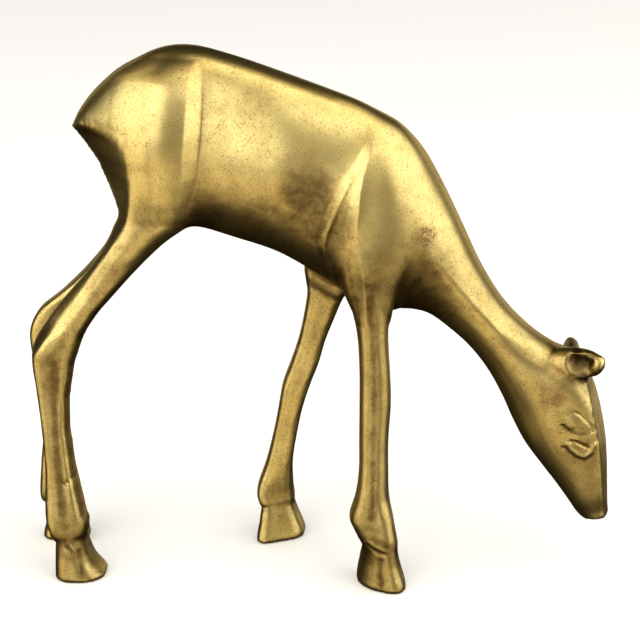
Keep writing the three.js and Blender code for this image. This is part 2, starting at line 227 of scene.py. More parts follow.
LEFT_FRONT_LEG = [
    *FRONT_LEG_TOP,
    [6.4, 105.0, 23.4, 105.0, 12.6, 2.0, 2.2, 0.0],
    [3.0, 97.0, 22.0, 97.0, 13.4, 2.2, 2.4, 0.0],
    [-1.4, 89.0, 16.4, 89.0, 13.7, 3.0, 2.6, 0.0],
    [-4.0, 81.4, 10.2, 80.6, 13.5, 4.2, 2.6, 0.0],
    [-3.4, 74.7, 6.0, 73.7, 13.6, 5.2, 2.6, 0.0],
    [-4.5, 67.0, 3.3, 67.0, 13.9, 6.2, 2.3, 0.0],
    [-5.9, 60.4, 0.9, 60.4, 14.4, 7.0, 2.3, 0.0],
    [-8.0, 53.7, -0.9, 53.7, 15.0, 7.6, 2.3, 0.0],
    [-10.2, 47.3, -3.2, 47.3, 15.4, 8.0, 2.3, 0.0],
    [-11.5, 39.9, -5.4, 39.9, 15.9, 8.5, 2.3, 0.0],
    [-12.9, 32.4, -6.9, 32.4, 16.6, 9.0, 2.3, 0.0],
    [-15.0, 23.6, -8.2, 23.6, 17.4, 9.2, 2.3, 0.0],
    [-17.5, 15.8, -8.2, 15.2, 18.2, 9.4, 2.8, 0.0],
    [-17.2, 12.4, -8.0, 12.0, 18.2, 9.5, 2.6, 0.0],
]
LEFT_FRONT_HOOF = [
    [-16.4, 9.0, -7.9, 9.2, 0.88],
    [-17.0, 5.0, -6.5, 5.2, 0.95],
    [-17.7, 0.6, -5.0, 0.6, 1.02],
]

# The ears' lobes and hollows: middle, half lengths, and the point that the long axis aims at
RIGHT_EAR = dict(middle=(66.1, -5.6, 60.7), halves=(7.8, 4.0, 4.0), aim=(73.5, -7.8, 61.0))
RIGHT_EAR_TIP = dict(middle=(71.6, -7.9, 60.6), halves=(3.0, 1.7, 1.7), aim=(72.9, -8.1, 63.5))
LEFT_EAR = dict(middle=(66.9, 9.0, 57.6), halves=(7.5, 2.4, 3.5), aim=(67.1, 16.4, 58.0))
LEFT_HOLLOW = dict(middle=(69.0, 10.8, 56.6), halves=(4.2, 2.2, 2.4), aim=(69.4, 16.4, 57.0))

# The hollow under the right ear: both ends' x and roof z, z where it runs out, y at the roof and there
RIGHT_HOLLOW = (62.4, 70.9, 64.3, 62.8, 55.5, -5.0, -9.6)
HOLLOW_RUN = 4.6  # how far its floor takes to reach full depth
HOLLOW_BOW = 1.3  # how hollow its wall is

# The flat rear of each hind leg: z, its middle's x, y where it starts to lean, its outer edge's x and y
RIGHT_REAR = [
    [0.0, -300.0, 7.5, -298.0, 12.2],
    [58.0, -84.0, 7.5, -80.0, 12.2],
    [62.0, -75.6, 7.8, -73.9, 12.1],
    [64.3, -74.6, 7.8, -72.0, 12.0],
    [72.6, -69.6, 7.6, -66.1, 11.9],
    [81.3, -62.7, 7.4, -59.9, 12.1],
    [90.7, -55.4, 7.2, -53.5, 12.2],
    [96.0, -52.4, 7.2, -49.7, 11.8],
]
LEFT_REAR = [
    [0.0, -300.0, 7.5, -298.0, 12.2],
    [56.0, -88.0, 7.5, -84.0, 12.2],
    [60.5, -80.4, 7.8, -78.4, 12.1],
    [63.5, -79.2, 7.8, -76.4, 12.0],
    [69.5, -75.8, 7.6, -72.3, 11.9],
    [74.4, -70.0, 7.4, -67.0, 12.0],
    [80.6, -63.6, 7.4, -60.7, 12.1],
    [88.6, -56.8, 7.2, -54.4, 12.2],
    [96.0, -52.6, 7.2, -49.8, 11.8],
]
# The rump's back face above them, in the same columns
RUMP_FACE = [
    [99.0, -50.7, 7.0, -47.9, 11.5],
    [101.0, -50.6, 6.5, -47.2, 11.3],
    [104.0, -51.8, 4.5, -46.3, 11.0],
    [106.9, -53.3, 2.4, -45.75, 10.6],
    [109.2, -54.6, 1.1, -45.4, 10.3],
    [111.4, -56.0, 0.35, -45.25, 10.0],
    [113.8, -57.6, 0.0, -45.2, 9.6],
    [117.0, -59.7, 0.0, -45.9, 9.0],
    [118.8, -61.0, 0.0, -46.7, 10.2],
    [120.2, -62.3, 0.0, -47.9, 9.5],
    [121.2, -63.9, 0.0, -50.0, 8.4],
    [122.0, -65.8, 0.0, -53.2, 6.7],
    [123.0, -69.0, 0.0, -59.0, 4.8],
    [124.4, -75.0, 0.0, -68.0, 5.0],
]
REARS = [(-1, [*RIGHT_REAR, *RUMP_FACE]), (1, [*LEFT_REAR, *RUMP_FACE])]
RUMP_BOW = 1.15  # how hollow the face is across
LEAST_LEAN = 1.0
TAIL_EDGE_ABOVE = (116.0, 5.0)  # start and run of the softer edge beside the tail, in height
TAIL_EDGE_ASIDE = (0.0, 5.0)  # and away from the midline

# The narrow bevel that runs along that edge
FACET_WIDTH = 2.7
FACET_DEPTH = 1.3
FACET_SLANT = 0.76
FACET_FADED = 3.0  # in depths, how far out it lies where it has faded
FACET_SHARE = ([63.5, 66.0, 71.0, 93.0, 105.0], [0.0, 0.6, 1.0, 1.0, 0.0])  # by height

# The face's flat front from the brow to the nose: z, x of its middle, x and y of its edge
FACE_FRONT = [
    [15.0, 78.3, 77.6, 3.4],
    [18.4, 77.6, 76.8, 3.6],
    [25.2, 77.1, 75.7, 4.6],
    [31.5, 76.7, 74.9, 5.7],
    [37.7, 76.0, 74.0, 6.5],
    [42.2, 75.2, 72.8, 7.2],
    [46.6, 74.2, 71.8, 7.3],
    [50.4, 73.1, 71.2, 6.6],
    [54.0, 72.1, 70.3, 6.0],
    [57.0, 71.0, 69.0, 6.0],
    [60.0, 71.0, 69.6, 5.0],
    [62.0, 76.0, 76.0, 4.0],
]
FACE_BOW = 1.2
FACE_FROM = 60.0

# The legs: rows, hoof, side, and the stance, turn and trim that each pair shares
HIND = (HIND_STANCE, HIND_TOE_OUT, HIND_END_TRIM)
FRONT = (FRONT_STANCE, FRONT_TOE_OUT, FRONT_END_TRIM)
LEGS = [
    (RIGHT_HIND_LEG, RIGHT_HIND_HOOF, -1, HIND),
    (LEFT_HIND_LEG, LEFT_HIND_HOOF, 1, HIND),
    (RIGHT_FRONT_LEG, RIGHT_FRONT_HOOF, -1, FRONT),
    (LEFT_FRONT_LEG, LEFT_FRONT_HOOF, 1, FRONT),
]


def rise(value, start, run):
    """0 before the start, 1 past the run, and a slope between them. A run below 0 goes the other way."""
    return np.clip((value - start) / run, 0, 1)


def within(value, low, high):
    return (value > low) & (value < high)


def columns(rows):
    return np.array(rows).T


def along_curve(rows, place):
    """The stations' smooth curve at one place along it."""
    rows = np.asarray(rows, float)
    last = len(rows) - 1
    i = min(int(place), last - 1)
    t = place - i
    a, b, c, d = (rows[max(0, min(last, k))] for k in (i - 1, i, i + 1, i + 2))
    return b + 0.5 * t * (c - a + t * (2 * a - 5 * b + 4 * c - d + t * (3 * (b - c) + d - a)))


def places(rows):
    """Where along the stations' curve the sections lie."""
    return np.linspace(0, len(rows) - 1, (len(rows) - 1) * RINGS + 1)


def section(one, other, widest, y_low, y_high, fullness_one, fullness_other, by_side, turn=0.0):
    """A squared ellipse between two points of the side view, with a fullness for each end or each side."""
    angle = np.linspace(0, 2 * np.pi, SIDES, endpoint=False)
    cosine, sine = np.cos(angle), np.sin(angle)
    power = 2 / np.where((sine if by_side else cosine) >= 0, fullness_one, fullness_other)
    one, other = np.asarray(one), np.asarray(other)
    across = one - other
    middle = one + (other - one) * widest
    reach = np.where(cosine >= 0, widest, 1 - widest)
    along = np.sign(cosine) * np.abs(cosine) ** power * reach
    aside = np.sign(sine) * np.abs(sine) ** power * (y_high - y_low) / 2 + turn * across[0] * along
    x = middle[0] + across[0] * along
    z = middle[1] + across[1] * along
    return np.stack([x, (y_low + y_high) / 2 + aside, z], -1)


def skin(rings):
    """Points and triangles of a closed surface through the rings."""
    sides = len(rings[0])
    points = np.concatenate([*rings, [rings[0].mean(0)], [rings[-1].mean(0)]])
    s = np.arange(sides)
    n = (s + 1) % sides
    faces = []
    for r in range(len(rings) - 1):
        a, b, c, d = r * sides + s, r * sides + n, (r + 1) * sides + s, (r + 1) * sides + n
        faces += [np.stack([a, c, b], -1), np.stack([b, c, d], -1)]
    first, last = len(points) - 2, len(points) - 1
    base = (len(rings) - 1) * sides
    faces.append(np.stack([s, n, np.full(sides, first)], -1))
    faces.append(np.stack([base + n, base + s, np.full(sides, last)], -1))
    return points, np.concatenate(faces)


def trunk():
    """The surface from the tail over the back and the neck to the nose."""
    rings = []
    for place in places(TRUNK):
        top_x, top_z, low_x, low_z, width, widest, above, below = along_curve(TRUNK, place)
        half = width * TRUNK_WIDTH / 2
        rings.append(section((top_x, top_z), (low_x, low_z), widest, -half, half, above, below, False))
    return skin(rings)


def run_of_leg(rows, side, toe_out):
    """The surface of a leg or a hoof."""
    rings = []
    for place in places(rows):
        back_x, back_z, front_x, front_z, outer, inner, fullness, lean = along_curve(rows, place)
        low, high = (inner, outer) if side > 0 else (-outer, -inner)
        full = (fullness, INNER_FULLNESS) if side > 0 else (INNER_FULLNESS, fullness)
        turn = side * (toe_out * rise(back_z, TOE_OUT_FROM, TOE_OUT_FULL - TOE_OUT_FROM) + lean)
        rings.append(section((front_x, front_z), (back_x, back_z), 0.5, low, high, *full, True, turn))
    return skin(rings)


def fetlock_end(row, front_share):
    """Stations that round off the leg's lower end, inside the top of the hoof."""
    back_x, back_z, front_x, front_z, outer, inner, fullness, lean = row
    ends = []
    for drop, share in FETLOCK_END:
        trim_x, trim_y = (front_x - back_x) * (1 - share) / 2, (outer - inner) * (1 - share) / 2
        back = [back_x + trim_x, back_z - drop]
        front = [front_x - trim_x * front_share, front_z - drop]
        ends.append([*back, *front, outer - trim_y, inner + trim_y, fullness, lean])
    return ends


def hoof_rows(hoof, stance):
    """A hoof's stations in a leg's columns."""
    top = np.add(hoof[0], [HOOF_TOP_INSET, HOOF_INTO_LEG, -HOOF_TOP_INSET, HOOF_INTO_LEG, 0])
    top[4] *= HOOF_TOP_SHARE
    below = np.subtract(hoof[-1], [0, HOOF_BELOW, 0, HOOF_BELOW, 0])
    rows = []
    for *ends, share in [top, *hoof, below]:
        half = share * HOOF_WIDTH / 2
        rows.append([*ends, stance / 2 + half, stance / 2 - half, HOOF_FULLNESS, 0.0])
    return rows


def lobe(middle, halves, aim):
    """Points and triangles of an ellipsoid whose first axis aims at a point, with its second axis level."""
    middle, aim = np.asarray(middle), np.asarray(aim)
    axis = (aim - middle) / np.linalg.norm(aim - middle)
    level = np.cross([0.0, 0.0, 1.0], axis)
    level /= np.linalg.norm(level)
    axes = np.stack([axis, level, np.cross(axis, level)])
    turn = np.linspace(0, 2 * np.pi, LOBE_SIDES, endpoint=False)
    rings = []
    for angle in np.linspace(LOBE_TIP, np.pi - LOBE_TIP, LOBE_RINGS):
        along = np.full(LOBE_SIDES, np.cos(angle))
        local = np.stack([along, np.sin(angle) * np.cos(turn), np.sin(angle) * np.sin(turn)], -1)
        rings.append((local * halves) @ axes + middle)
    return skin(rings)


def field(points, faces):
    """Distance to a closed surface on the grid, negative inside, cut off at the band."""
    a, b, c = (points[faces[:, k]] for k in range(3))
    if np.einsum("ij,ij->i", a, np.cross(b, c)).sum() < 0:
        faces = faces[:, ::-1]
    grid = openvdb.FloatGrid.createLevelSetFromPolygons(
        np.ascontiguousarray(points, np.float32),
        triangles=np.ascontiguousarray(faces, np.uint32),
        transform=openvdb.createLinearTransform(voxelSize=VOXEL),
        halfWidth=float(BAND),
    )
    values = np.empty(COUNT, np.float32)
    grid.copyToArray(values, ijk=CORNER)
    return values


def surface(values):
    """Points and faces where the field is 0."""
    grid = openvdb.FloatGrid(BAND * VOXEL)
    grid.transform = openvdb.createLinearTransform(voxelSize=VOXEL)
    grid.copyFromArray(np.ascontiguousarray(values), ijk=CORNER)
    points, triangles, quads = grid.convertToPolygons(0.0, 0.0)
    return points.astype(float), [tuple(map(int, f)) for f in (*triangles, *quads)]


def alikeness(a, b):
    """1 where two fields slope the same way, down to -1 where they slope against each other."""
    return sum(p * q for p, q in zip(np.gradient(a, VOXEL), np.gradient(b, VOXEL)))


def join(a, b, radius):
    """Union, with a fillet of about that radius only where the two surfaces meet at an angle."""
    near = np.clip(0.5 + 0.5 * (b - a) / radius, 0, 1)
    angle = np.clip((1 - alikeness(a, b)) / 2, 0, 1)
    return np.minimum(a, b) - radius * near * (1 - near) * (SMOOTH_FILLET + angle)


def keep(a, b, radius):
    """The part of a where b is negative, with the edge rounded."""
    near = np.clip(0.5 + 0.5 * (a - b) / radius, 0, 1)
    return np.maximum(a, b) + radius * near * (1 - near) * np.clip(1 - alikeness(a, b), 0, 1)


def blurred(values, reach):
    """The field smoothed over a distance in mm."""
    half = int(np.ceil(reach * BLUR_REACH / VOXEL))
    weights = np.exp(-0.5 * (np.arange(-half, half + 1) * VOXEL / reach) ** 2)
    weights /= weights.sum()
    for axis in range(3):
        padded = np.pad(values, [(half, half) if k == axis else (0, 0) for k in range(3)], "edge")
        count = values.shape[axis]
        out = np.zeros_like(values)
        for k, weight in enumerate(weights):
            out += np.float32(weight) * np.take(padded, range(k, k + count), axis=axis)
        values = out
    return values


def soften(values, x, z):
    """Smooths where the legs run into the trunk, and leaves the feet, the head and the tail alone."""
    low = rise(z, *SOFT_ABOVE)[None, :]
    head = rise(x, *SOFT_BEHIND)[:, None]
    tail = rise(x, *TAIL_BEHIND)[:, None] * rise(z, *TAIL_ABOVE)[None, :]
    share = np.float32(low * head * (1 - tail))[:, None, :]
    return values + (blurred(values, SOFTNESS) - values) * share


def front_bevel(rows, x, y, z):
    """Rough distance before the two steep facets that meet at the leg's front."""
    rows = columns(rows[::-1])
    front = np.interp(z, rows[3], rows[2], left=BEYOND_LEG, right=BEYOND_LEG)
    outer, inner = np.interp(z, rows[3], rows[4]), np.interp(z, rows[3], rows[5])
    middle, half = (outer + inner) / 2, (outer - inner) / 2
    fade = rise(z, *BEVEL_ABOVE) * rise(z, *BEVEL_BELOW)
    aside = np.clip(np.abs(y[:, None] - middle) - half + BEVEL_WIDTH, 0, None) / BEVEL_WIDTH
    face = front + BEVEL_FADED * (1 - fade) - BEVEL_DEPTH * aside
    return np.float32((x[:, None, None] - face[None]) * SLANT)


def half_width(values, at_x, y, side, otherwise):
    """How far out the surface lies on one side, at one x for each height."""
    place = np.clip(at_x / VOXEL - FIRST[0], 0, COUNT[0] - 2)
    i, k = place.astype(int), np.arange(COUNT[2])
    share = (place - i)[:, None]
    lines = values[i, :, k] * (1 - share) + values[i + 1, :, k] * share
    if side > 0:
        lines, y = lines[:, ::-1], y[::-1]
    inside = lines < 0
    first = np.clip(inside.argmax(1), 1, None)
    out, into = lines[k, first - 1], lines[k, first]
    found = np.abs(y[first - 1] + (y[first] - y[first - 1]) * out / (out - into + 1e-6))
    return np.where(inside.any(1), found, otherwise)


def rear_face(values, x, y, z):
    """Rough distance behind the flat rear of the rump and the hind legs."""
    sides = []
    for side, rows in REARS:
        rows = columns(rows)
        middle, lean, edge_x, edge_y = (np.interp(z, rows[0], row) for row in rows[1:])
        edge_y = np.maximum(half_width(values, edge_x, y, side, edge_y), lean + LEAST_LEAN)
        aside = rise(np.abs(y)[:, None], lean, edge_y - lean)
        sides.append(middle + (edge_x - middle) * aside**RUMP_BOW)
    face = np.where((y < 0)[:, None], *sides)
    steepness = np.sqrt(1 + sum(slope**2 for slope in np.gradient(face, VOXEL)))
    return np.float32((face[None] - x[:, None, None]) / steepness[None])


def hind_facet(values, x, y, z):
    """Rough distance outside the narrow facet before each hind leg's rear edge."""
    sides = []
    for side, rows in REARS:
        rows = columns(rows)
        edge_x, edge_y = np.interp(z, rows[0], rows[3]), np.interp(z, rows[0], rows[4])
        edge_y = half_width(values, edge_x + FACET_WIDTH / FACET_SLANT, y, side, edge_y)
        share = np.interp(z, *FACET_SHARE)
        ahead = (x[:, None] - edge_x) * FACET_SLANT / FACET_WIDTH
        depth = FACET_DEPTH * (ahead - 1 + FACET_FADED * (1 - share))
        sides.append(edge_y + depth + OUT_OF_REACH * (share == 0))
    face = np.where((y < 0)[None, :, None], *(side[:, None, :] for side in sides))
    return np.float32((np.abs(y)[None, :, None] - face) * SLANT)


def rear_rounding(y, z):
    """How round the rear face's edge is: soft beside the tail, crisp on the haunch and the leg."""
    high = rise(z, *TAIL_EDGE_ABOVE)[None, :]
    off_middle = rise(np.abs(y), *TAIL_EDGE_ASIDE)[:, None]
    return np.float32(REAR_EDGE + TAIL_EDGE * high * off_middle)[None]


def ear_hollow(x, y, z, first, last, roof_first, roof_last, runs_out, y_roof, y_out):
    """Rough distance outside the space under the ear, which runs out on the cheek."""
    x, y, z = x[:, None, None], y[None, :, None], z[None, None, :]
    roof = roof_first + (roof_last - roof_first) * rise(x, first, last - first)
    deep = rise(z, runs_out, roof_last - runs_out) ** HOLLOW_BOW * rise(x, first, HOLLOW_RUN)
    wall = y_out + (y_roof - y_out) * deep
    ends = np.maximum(np.maximum(first - x, x - last), runs_out - z)
    return np.float32(np.maximum(np.maximum(ends, z - roof), (y - wall) * SLANT))


def face_front(x, y, z):
    """Rough distance before the flat front of the face."""
    rows = columns(FACE_FRONT)
    middle, edge_x, edge_y = (np.interp(z, rows[0], row) for row in rows[1:])
    face = middle - (middle - edge_x) * (np.abs(y)[:, None] / edge_y) ** FACE_BOW
    beyond = np.float32(x[:, None, None] - face[None])
    return np.where(x[:, None, None] > FACE_FROM, beyond, np.float32(-OUT_OF_REACH))


def leg_field(rows, hoof, side, pair, x, y, z):
    """One leg with its hoof."""
    stance, toe_out, trim = pair
    leg = field(*run_of_leg([*rows, *fetlock_end(rows[-1], trim)], side, toe_out))
    if pair is HIND:
        leg = keep(leg, front_bevel(rows, x, y * side, z), BEVEL_EDGE)
    foot = field(*run_of_leg(hoof_rows(hoof, stance), side, toe_out))
    return join(leg, foot, HOOF_FILLET)


def whole_field():
    """The casting before its relief: the trunk, the legs, the flats cut on them, and the ears."""
    x, y, z = (np.float32((FIRST[i] + np.arange(COUNT[i])) * VOXEL) for i in range(3))
    whole = field(*trunk())
    for leg in LEGS:
        whole = join(whole, leg_field(*leg, x, y, z), LEG_FILLET)
    whole = soften(whole, x, z)
    whole = keep(whole, hind_facet(whole, x, y, z), FACET_EDGE)
    whole = keep(whole, rear_face(whole, x, y, z), rear_rounding(y, z))
    whole = keep(whole, face_front(x, y, z), FACE_EDGE)
    whole = join(whole, field(*lobe(**RIGHT_EAR)), EAR_FILLET)
    whole = keep(whole, -ear_hollow(x, y, z, *RIGHT_HOLLOW), RIGHT_HOLLOW_EDGE)
    whole = join(whole, field(*lobe(**RIGHT_EAR_TIP)), EAR_TIP_FILLET)
    whole = join(whole, field(*lobe(**LEFT_EAR)), EAR_FILLET)
    whole = keep(whole, -field(*lobe(**LEFT_HOLLOW)), LEFT_HOLLOW_EDGE)
    return keep(whole, np.broadcast_to(-z, whole.shape), SOLE_EDGE)


# The haunch's step on both flanks
HAUNCH_STEP = [
    # z, x at the foot of the step, x of its edge, height
    [99.0, -34.0, -35.2, 0.0],
    [102.4, -32.8, -34.4, 0.3],
    [106.4, -31.4, -33.7, 0.75],
    [110.4, -30.4, -33.6, 1.4],
    [115.4, -29.7, -33.4, 1.9],
    [120.4, -29.1, -33.0, 2.0],
    [125.2, -28.7, -32.5, 1.95],
    [129.9, -28.5, -32.0, 1.75],
    [134.5, -28.5, -31.5, 1.2],
    [137.1, -28.9, -31.0, 0.5],
    [139.0, -29.6, -30.6, 0.0],
]
HAUNCH_CROWN = 1.7  # how much higher than its edge the haunch is
HAUNCH_CROWN_AT = 6.5  # this far behind it
HAUNCH_FADE = 24.0
CROWN_BEND = 8  # how suddenly the crown's slope ends
CROWN_ROUND = 0.2
CROWN_ABOVE = (90.0, 22.0)  # start and run of its fading below
CROWN_BELOW = (141.0, -8.0)  # and at the back

# Brown marks on the right side: x, z, radius, strength
STAINS = [
    [26.6, 96.1, 2.8, 1.3],
    [61.3, 51.7, 2.4, 0.85],
    [59.3, 51.1, 2.2, 0.8],
    [58.4, 53.9, 1.8, 0.6],
    [65.1, 48.6, 1.0, 0.4],
    [-56.6, 80.0, 0.8, 0.8],
    [-64.8, 69.1, 0.8, 0.8],
    [-69.3, 10.5, 2.6, 0.5],
]

# Painted shade as thin brown film in the same columns: before the shoulder, along the lower flank and down
# the thigh
FLANK_SHADE = [
    [-2.4, 106.0, 7.2, 1.0],
    [0.4, 99.0, 7.6, 1.0],
    [-6.4, 97.0, 8.0, 0.9],
    [-5.0, 108.6, 4.6, 0.8],
    [-37.4, 101.6, 4.6, 0.75],
    [-36.6, 106.6, 3.4, 0.55],
    [-30.0, 103.0, 6.0, 0.6],
    [-21.0, 102.0, 6.5, 0.6],
    [-12.0, 100.0, 6.5, 0.65],
    [-43.0, 101.0, 6.0, 0.65],
    [-49.0, 94.0, 6.0, 0.65],
    [-54.0, 86.0, 5.5, 0.6],
]

# Painted shade in the same columns, in dark brown: under the ear and along its rim
EAR_SHADE = [
    [68.2, 61.6, 2.6, 0.95],
    [66.4, 60.4, 2.2, 0.9],
    [64.4, 62.4, 1.5, 0.8],
    [66.0, 58.2, 2.0, 0.7],
    [69.8, 63.6, 1.8, 0.8],
    [66.4, 64.4, 1.4, 0.8],
    [68.4, 57.4, 2.6, 0.85],
    [69.6, 54.4, 2.2, 0.45],
    [70.9, 59.6, 1.5, 0.85],
    [71.9, 59.9, 1.3, 0.85],
    [70.4, 57.8, 1.5, 0.8],
]

SHOULDER_FOLDS = [
    # z, then x and height of: foot of the fold, its crest, the crease, the foot of the blade, its edge
    [58.0, 10.0, 0.0, 10.1, 0.0, 10.2, 0.0, 11.0, 0.0, 13.0, 0.0],
    [72.0, 9.0, 0.0, 9.2, 0.0, 9.4, 0.0, 10.4, 0.0, 12.2, 0.35],
    [79.7, 7.0, 0.0, 7.2, 0.0, 7.4, 0.0, 9.4, 0.0, 11.8, 0.55],
    [85.1, 4.6, 0.0, 4.8, 0.0, 5.0, 0.0, 8.4, 0.1, 11.4, 0.8],
    [89.1, 1.0, 0.0, 1.8, 0.1, 2.4, 0.0, 7.4, 0.3, 10.9, 1.0],
    [93.2, -0.4, 0.0, 1.4, 0.5, 2.2, 0.1, 6.6, 0.45, 10.1, 1.2],
    [96.8, 0.0, 0.0, 2.0, 0.8, 3.0, 0.2, 6.5, 0.5, 9.8, 1.3],
    [100.5, 1.0, 0.0, 3.3, 0.9, 4.4, 0.42, 6.6, 0.5, 9.8, 1.35],
    [104.3, 2.4, 0.0, 5.0, 0.85, 5.8, 0.62, 7.2, 0.6, 10.0, 1.3],
    [108.0, 4.0, 0.0, 6.9, 0.8, 7.2, 0.65, 8.2, 0.7, 10.4, 1.2],
    [111.6, 6.4, 0.0, 8.8, 0.6, 9.0, 0.6, 9.2, 0.6, 11.1, 0.95],
    [115.2, 9.2, 0.0, 10.6, 0.3, 10.7, 0.3, 10.8, 0.3, 12.3, 0.55],
    [119.0, 11.4, 0.0, 11.8, 0.1, 11.9, 0.1, 12.0, 0.1, 13.4, 0.22],
    [126.0, 13.0, 0.0, 13.2, 0.0, 13.4, 0.0, 13.6, 0.0, 15.0, 0.0],
]
SHOULDER_FADE = 11.0
LEAST_FOLD = 0.05  # the least width that a part of the fold is given

# Ridges and grooves: on both sides or the right one alone, height, half width, and the path's x, z
STROKES = [
    (True, -0.22, 0.45, [(66.6, 48.2), (68.0, 47.4), (69.6, 45.8), (71.0, 44.0), (71.4, 42.6)]),
    (True, -0.34, 0.42, [(63.5, 44.3), (64.0, 43.6), (64.7, 42.9)]),
    (True, 0.16, 0.35, [(64.2, 43.0), (64.7, 42.9)]),
    (True, -0.44, 0.42, [(65.9, 39.8), (67.2, 39.6), (68.8, 38.7), (70.4, 37.8)]),
    (True, 0.38, 0.7, [(65.0, 39.0), (66.0, 37.4), (67.8, 35.9), (69.6, 35.3), (71.2, 36.6), (71.8, 38.6)]),
    (False, -0.4, 0.35, [(63.8, 37.8), (63.9, 37.6)]),
    (True, 0.22, 1.1, [(-33.9, 141.1), (-24.2, 138.5), (-14.4, 135.4), (-4.7, 131.5), (3.2, 128.3)]),
    (True, 0.22, 1.3, [(28.1, 90.9), (33.3, 84.0), (38.6, 77.6), (46.5, 69.5), (57.0, 64.2)]),
    (True, -0.26, 0.9, [(16.6, 9.0), (16.7, 1.0)]),
    (True, -0.22, 0.9, [(-63.6, 9.0), (-62.6, 1.5)]),
    (True, -0.22, 0.9, [(-12.3, 9.0), (-11.9, 1.5)]),
    (False, -0.45, 0.5, [(-66.4, 10.6), (-65.6, 9.6), (-65.2, 8.8)]),
    (False, -0.4, 0.45, [(-60.9, 9.2), (-60.6, 8.6)]),
    (False, -0.35, 0.35, [(-66.5, 28.2), (-65.2, 29.3), (-63.6, 30.2)]),
    (False, -0.28, 0.55, [(13.0, 13.2), (14.6, 12.2), (16.2, 11.6), (18.0, 11.4)]),
    (True, -0.24, 1.2, [(13.2, 80.0), (14.2, 62.0), (14.4, 44.0), (14.2, 30.0), (14.2, 21.0)]),
    (False, -0.22, 1.2, [(-67.6, 60.0), (-68.2, 45.0), (-67.9, 30.0), (-67.2, 20.0)]),
]

# Smooth domes on both sides: middle x, z, half lengths, how far the long one turns down from level, height
DOMES = [
    (66.8, 45.0, 5.0, 3.2, 22.0, 0.6),
    (68.4, 40.8, 3.6, 3.4, 30.0, 0.32),
    (-4.0, 104.0, 12.0, 14.0, 0.0, -0.6),
]
DOME_RIM = 1.5

# The relief is full where the surface faces sideways, and there is none along the midline
RELIEF_GAIN = 1.6
RELIEF_LEAST = 0.2
RELIEF_ASIDE = 2.0
LEGS_BELOW = 75.0  # strokes stay on the outer sides of the legs
HEAD_FROM = 40.0

# Where the mesh is split finer, with some room round the step and the fold
STEP_HEIGHTS = (97.0, 140.0)
STEP_ROOM = 1.2
FOLD_HEIGHTS = (72.0, 119.0)
FOLD_ROOM_BEHIND = 1.0
FOLD_ROOM_BEFORE = 1.4
FLANK_ASIDE = 4.0
EAR_FROM = 59.0
EAR_HEIGHTS = (55.0, 67.0)
FETLOCK_HEIGHTS = (7.0, 14.5)
EYE_LENGTHS = (62.4, 73.4)
EYE_HEIGHTS = (34.0, 49.5)
EYE_ASIDE = 5.0

# How depth below the smoothed surface turns into recess, and height above it into wear
HOLLOW_ROUNDS = 12
RECESS_DEPTH = 0.09
RECESS_LEAST = 0.15
RECESS_MOST = 0.9
WORN_HEIGHT = 0.12
TRUNK_BEFORE = 20.0  # the trunk and the haunches, where recesses stay lighter
TRUNK_OVER = 80.0
TRUNK_RECESS = 0.55

# A mark's full middle and soft rim, in radii
MARK_CORE = 1.6
MARK_RIM = 1.2

# Brown film on the legs and the face, and painted shade on the belly and the far ear: start and run of each
# fading, and its strengths
FILM_BELOW = (99.0, -15.0)
FILM_FADE = 10.0
HEAD_FILM = 0.25
FAR_FROM = 2.0
FAR_FILM = 0.35
RUBBED_WIDTH = 2.2
RUBBED_AHEAD = 1.2
RUBBED_ABOVE = (62.0, 4.0)
# painted shade on the surfaces that face down
BELLY_FACING = 0.06
BELLY_SLOPE = 0.3
BELLY_MOST = 0.9
BELLY_BEHIND = (34.0, -10.0)
BELLY_ABOVE = (78.0, 8.0)
# Painted shade on the far ear and the head beside it
FAR_EAR = (62.0, 5.0, 53.0)  # its lowest x, y and z
FAR_EAR_SHADE = 0.85

# The brass in two tones, and what lies on it
LIGHT_BRASS = (0.96, 0.79, 0.35, 1)
DEEP_BRASS = (0.80, 0.61, 0.20, 1)
# the film and tarnish browns also paint shade on the belly, the flank and the far ear
FILM_AND_SHADE_BROWN = (0.44, 0.28, 0.085, 1)
TARNISH_AND_SHADE_BROWN = (0.125, 0.083, 0.03, 1)
STAIN_BROWN = (0.30, 0.17, 0.075, 1)
# painted shade under the near ear and along its rim
EAR_SHADE_BROWN = (0.10, 0.065, 0.025, 1)
SPECK_BROWN = (0.16, 0.08, 0.02, 1)

# The size of each pattern in mm, and the noise values between which it sets in
CLOUD_SIZE = 11.0
PATCH_SIZE = 3.2
BLOTCH_SIZE = 1.1
SPECK_SIZE = 0.42
GRAIN_SIZE = 0.34
SAND_SIZE = 0.16
PIT_SPACING = 3.0
PIT_RADIUS = 0.3
PIT_SHARE = 0.3
DOT_RIM = 0.12
CLOUDED = (0.42, 0.68)
PATCHED = (0.3, 0.7)
TARNISH_PATCHED = (0.32, 0.68)
SPECK_PATCHED = (0.35, 0.62)
SPECKED = (0.53, 0.65)
BLOTCHED = (0.42, 0.58)
GRAIN_TONES = (0.3, 0.7)
GRAIN_GLOSS = (0.25, 0.75)

# The strength of each cover between its thinnest and its thickest patches
FILM_SHARES = (0.315, 0.7)
DULL_SHARES = (0.35, 0.75)
TARNISH_SHARES = (0.58, 1.0)
SPECK_SHARES = (0.2, 0.6)
STAIN_SHARES = (0.25, 1.0)

# What wear leaves of film and tarnish, how rough the brass and its covers are, and the bumps
WORN_FILM = 0.45
WORN_TARNISH = 0.3
LEAST_ROUGH = 0.25
MOST_ROUGH = 0.35
FILM_ROUGH = 0.1
SPECK_ROUGH = 0.25
STAIN_ROUGH = 0.12
SAND_HEIGHT = 0.5
SPECK_DEPTH = 1.2
BUMP_HEIGHT = 0.02
BUMP_STRENGTH = 0.35


